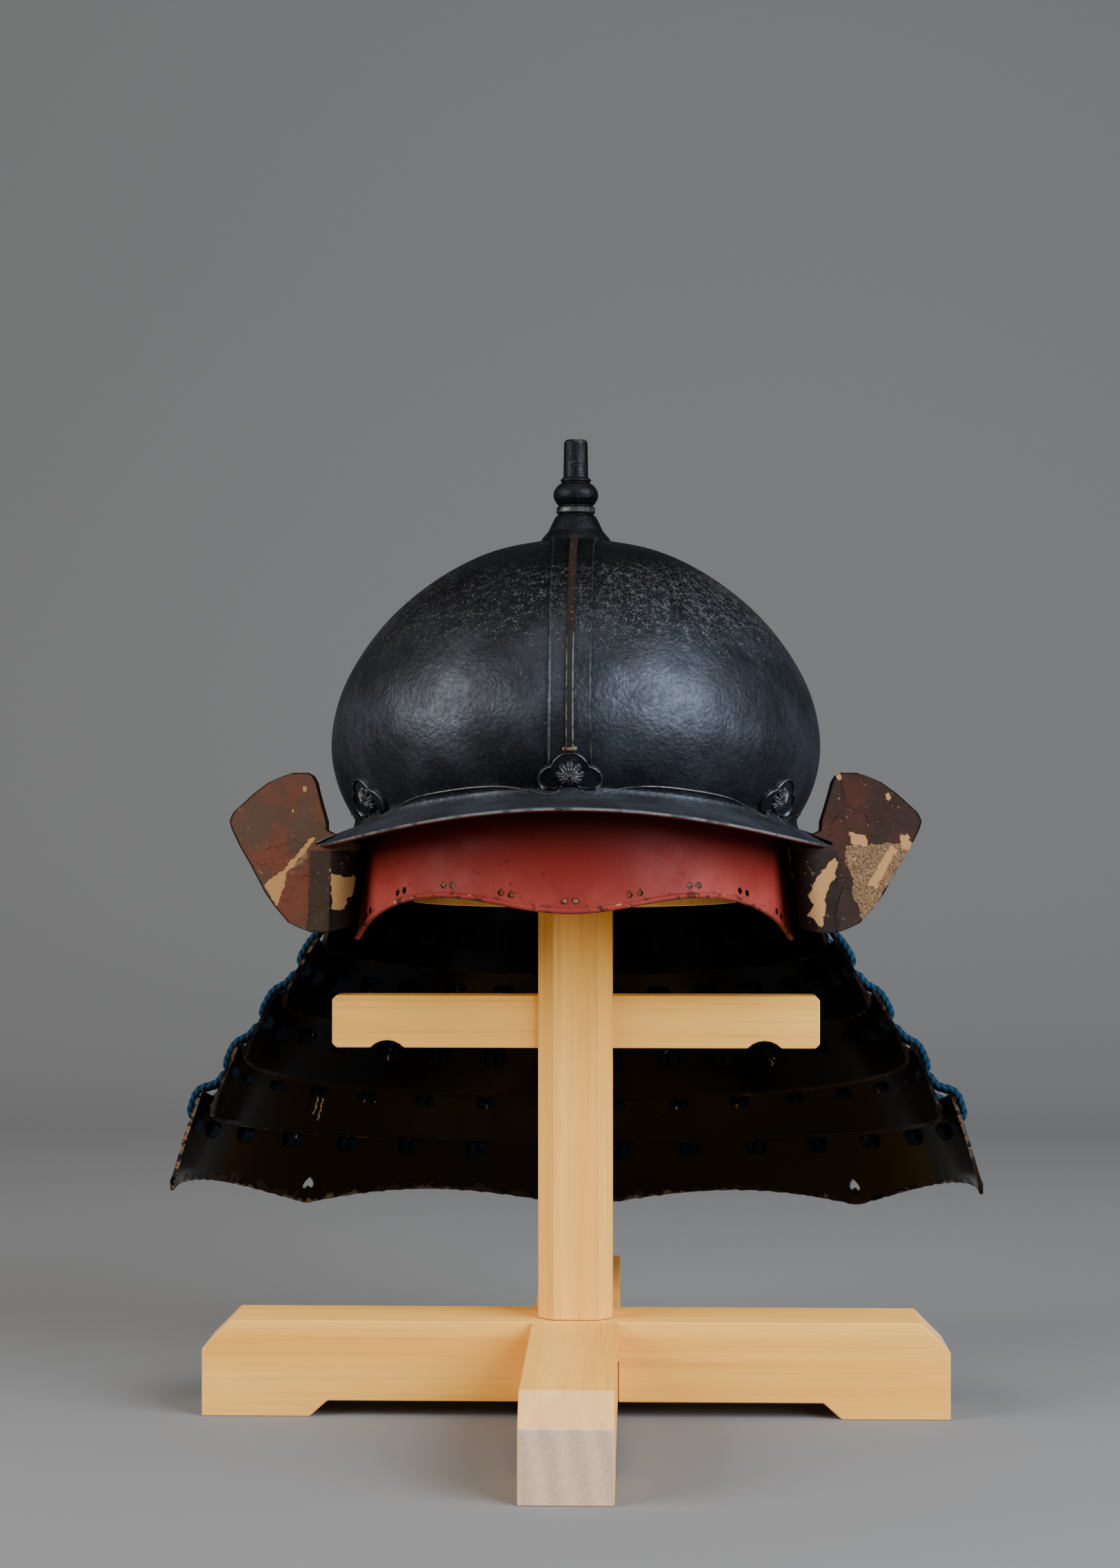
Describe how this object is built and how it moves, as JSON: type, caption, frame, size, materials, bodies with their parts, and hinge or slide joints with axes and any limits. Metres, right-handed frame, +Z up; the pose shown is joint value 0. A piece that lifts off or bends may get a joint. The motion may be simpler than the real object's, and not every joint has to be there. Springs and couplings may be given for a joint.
{
  "type": "iron helmet with laced neck guard on a wooden cross-foot stand",
  "caption": "Round iron helmet with a flared brim, turned finial, lacquered brow band, turned-back cheek plates and a laced neck guard, held on a plain wooden cross-foot stand.",
  "frame": {"origin": "on the ground, at the middle of the stand's crossed foot beams, under the post", "axes": "+Z up along the post; the helmet's front, its brim and brow band, faces -Y; +X is to the right of a viewer who faces the front"},
  "size_m": [0.3824, 0.37, 0.4594],
  "materials": {
    "black_iron": "near-black hammered iron, satin, with light pitting and rust specks",
    "rusted_iron": "rust-brown iron, rough",
    "dull_brass": "dull aged brass",
    "red_lacquer": "old red lacquer, satin, chipped along the bead",
    "black_lacquer": "black gloss lacquer, worn to brown and gold at the edges",
    "lacquered_leather": "brown lacquered leather, cracked and flaked to tan",
    "blue_cord": "braided dark blue silk cord",
    "pale_wood": "plain planed pale softwood, unvarnished"
  },
  "bodies": {
    "root": {"back_band": "black_iron", "back_rib": "rusted_iron", "bowl": "black_iron", "brow_band": "red_lacquer", "finial": "black_iron", "front_band": "black_iron", "front_rib": "rusted_iron", "lacing_column_01": "blue_cord", "lacing_column_02": "blue_cord", "lacing_column_03": "blue_cord", "lacing_column_04": "blue_cord", "lacing_column_05": "blue_cord", "lacing_column_06": "blue_cord", "lacing_column_07": "blue_cord", "lacing_column_08": "blue_cord", "lacing_column_09": "blue_cord", "lacing_column_10": "blue_cord", "lacing_column_11": "blue_cord", "lacing_column_12": "blue_cord", "lacing_column_13": "blue_cord", "lacing_column_14": "blue_cord", "lacing_column_15": "blue_cord", "lacing_column_16": "blue_cord", "medallion_1": "black_iron", "medallion_2": "black_iron", "medallion_3": "black_iron", "medallion_4": "black_iron", "medallion_5": "black_iron", "medallion_6": "black_iron", "neck_lame_1": "black_lacquer", "neck_lame_2": "black_lacquer", "neck_lame_3": "black_lacquer", "neck_lame_4": "black_lacquer", "neck_lame_5": "black_lacquer", "rib_bracket": "dull_brass", "stand_beam_x": "pale_wood", "stand_beam_y": "pale_wood", "stand_crossbar": "pale_wood", "stand_head": "pale_wood", "stand_post": "pale_wood", "turnback_left": "lacquered_leather", "turnback_right": "lacquered_leather"}
  },
  "joints": []
}
